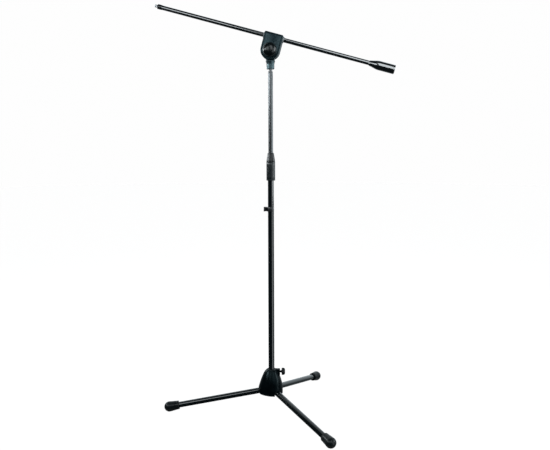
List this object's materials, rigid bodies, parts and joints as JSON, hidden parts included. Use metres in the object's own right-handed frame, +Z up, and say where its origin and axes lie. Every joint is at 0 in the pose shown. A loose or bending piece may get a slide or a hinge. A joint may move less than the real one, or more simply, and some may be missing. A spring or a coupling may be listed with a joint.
{
  "type": "boom microphone stand",
  "caption": "Folding tripod microphone stand with a sliding mast, a telescopic upper rod with a twist clutch, and a counterweighted boom that tilts, slides and turns in a knob-tightened head.",
  "frame": {"origin": "on the floor, at the centre of the footprint of the whole stand's bounding box", "axes": "+Z up, along the mast; the boom lies in the X-Z plane direction with its threaded microphone end towards -X and raised, and its counterweight towards +X; the head's knob faces -Y"},
  "size_m": [0.7754, 0.636, 1.3562],
  "materials": {
    "hub_paint": "satin black powder coat on a casting",
    "knuckle_paint": "satin black on a casting",
    "tube_paint": "gloss black stoved paint on steel tube",
    "foot_rubber": "satin black moulded rubber",
    "bush_brass": "turned brass",
    "zinc_steel": "bright zinc plated steel",
    "screw_black": "black oxide steel screw",
    "knob_plastic": "gloss black moulded plastic",
    "grip_rubber": "fine matt black elastomer",
    "nylon": "natural grey nylon",
    "rod_nickel": "dark nickel plated steel tube",
    "head_paint": "satin black powder coat on zinc castings",
    "friction_fibre": "pressed friction fibre",
    "bush_grey": "pale grey acetal",
    "cap_black": "black moulded plastic",
    "ferrule_black": "gloss black turned ferrule",
    "weight_iron": "cast slug",
    "weight_rubber": "smooth black rubber sleeve"
  },
  "bodies": {
    "base": {"base_hub": "hub_paint", "hub_bush": "bush_brass", "pressure_pad": "bush_brass", "hinge_pin_1": "zinc_steel", "hinge_pin_2": "zinc_steel", "hinge_pin_3": "zinc_steel"},
    "leg_1": {"leg_knuckle_1": "knuckle_paint", "leg_tube_1": "tube_paint", "foot_cap_1": "foot_rubber"},
    "leg_2": {"leg_knuckle_2": "knuckle_paint", "leg_tube_2": "tube_paint", "foot_cap_2": "foot_rubber"},
    "leg_3": {"leg_knuckle_3": "knuckle_paint", "leg_tube_3": "tube_paint", "foot_cap_3": "foot_rubber"},
    "clamp_screw": {"clamp_screw_stud": "screw_black", "clamp_screw_knob": "knob_plastic"},
    "mast": {"mast_tube": "tube_paint", "leg_lock_plug": "zinc_steel", "clutch_socket": "zinc_steel", "clutch_collet": "nylon"},
    "clutch_grip": {"clutch_grip": "grip_rubber", "clutch_nose": "knob_plastic"},
    "cable_clip": {"cable_clip": "knob_plastic"},
    "rod_guide": {"rod_foot_bush": "nylon"},
    "upper_rod": {"upper_rod": "rod_nickel", "rod_top_stud": "zinc_steel", "head_yoke": "head_paint"},
    "boom_clamp": {"clamp_shell_front": "head_paint", "clamp_shell_rear": "head_paint", "friction_disc_front": "friction_fibre", "friction_disc_rear": "friction_fibre", "tilt_nut_cap": "cap_black"},
    "clamp_knob": {"tilt_knob": "knob_plastic", "tilt_stud": "zinc_steel", "knob_washer": "cap_black"},
    "boom_bush": {"boom_bush": "bush_grey"},
    "boom_rod": {"boom_tube": "tube_paint", "boom_ferrule": "ferrule_black", "mic_thread_stud": "zinc_steel", "counterweight_core": "weight_iron", "counterweight_sleeve": "weight_rubber", "boom_end_plug": "cap_black"}
  },
  "joints": [
    {"name": "leg_fold_1", "type": "hinge", "parent": "base", "child": "leg_1", "pos_m": [-0.03884, -0.01895, 0.07414], "axis": [0.0941, -0.9956, 0], "range_deg": [0, 78]},
    {"name": "leg_fold_2", "type": "hinge", "parent": "base", "child": "leg_2", "pos_m": [-0.00213, 0.00714, 0.07414], "axis": [-0.9092, 0.4163, 0], "range_deg": [0, 78]},
    {"name": "leg_fold_3", "type": "hinge", "parent": "base", "child": "leg_3", "pos_m": [0.00211, -0.03769, 0.07414], "axis": [0.8151, 0.5793, 0], "range_deg": [0, 78]},
    {"name": "mast_lift", "type": "slide", "parent": "base", "child": "mast", "axis": [0, 0, 1], "range_m": [0, 0.032]},
    {"name": "clamp_screw_turn", "type": "hinge", "parent": "base", "child": "clamp_screw", "pos_m": [0.01592, -0.01377, 0.1377], "axis": [0.9956, 0.0941, 0], "range_deg": [0, 360]},
    {"name": "clutch_turn", "type": "hinge", "parent": "mast", "child": "clutch_grip", "pos_m": [-0.01295, -0.0165, 0.7872], "axis": [0, 0, 1], "range_deg": [0, 180]},
    {"name": "clip_slide", "type": "slide", "parent": "mast", "child": "cable_clip", "axis": [0, 0, 1], "range_m": [-0.5, 0.08]},
    {"name": "rod_height", "type": "slide", "parent": "mast", "child": "rod_guide", "axis": [0, 0, 1], "range_m": [-0.25, 0.33]},
    {"name": "rod_turn", "type": "hinge", "parent": "rod_guide", "child": "upper_rod", "pos_m": [-0.01295, -0.0165, 0.44], "axis": [0, 0, 1], "continuous": true},
    {"name": "boom_tilt", "type": "hinge", "parent": "upper_rod", "child": "boom_clamp", "pos_m": [-0.01295, -0.0165, 1.2052], "axis": [0, 1, 0], "range_deg": [-105, 74.5]},
    {"name": "knob_turn", "type": "hinge", "parent": "boom_clamp", "child": "clamp_knob", "pos_m": [-0.01295, -0.0165, 1.2052], "axis": [0, -1, 0], "range_deg": [0, 360]},
    {"name": "boom_roll", "type": "hinge", "parent": "boom_clamp", "child": "boom_bush", "pos_m": [-0.00179, -0.0165, 1.246], "axis": [0.9646, 0, -0.2639], "continuous": true},
    {"name": "boom_slide", "type": "slide", "parent": "boom_bush", "child": "boom_rod", "axis": [0.9646, 0, -0.2639], "range_m": [-0.278, 0.335]}
  ],
  "couplings": [
    {"joint": "leg_fold_1", "follows": "mast_lift", "rad_per_m": 42.5},
    {"joint": "leg_fold_2", "follows": "mast_lift", "rad_per_m": 42.5},
    {"joint": "leg_fold_3", "follows": "mast_lift", "rad_per_m": 42.5}
  ]
}
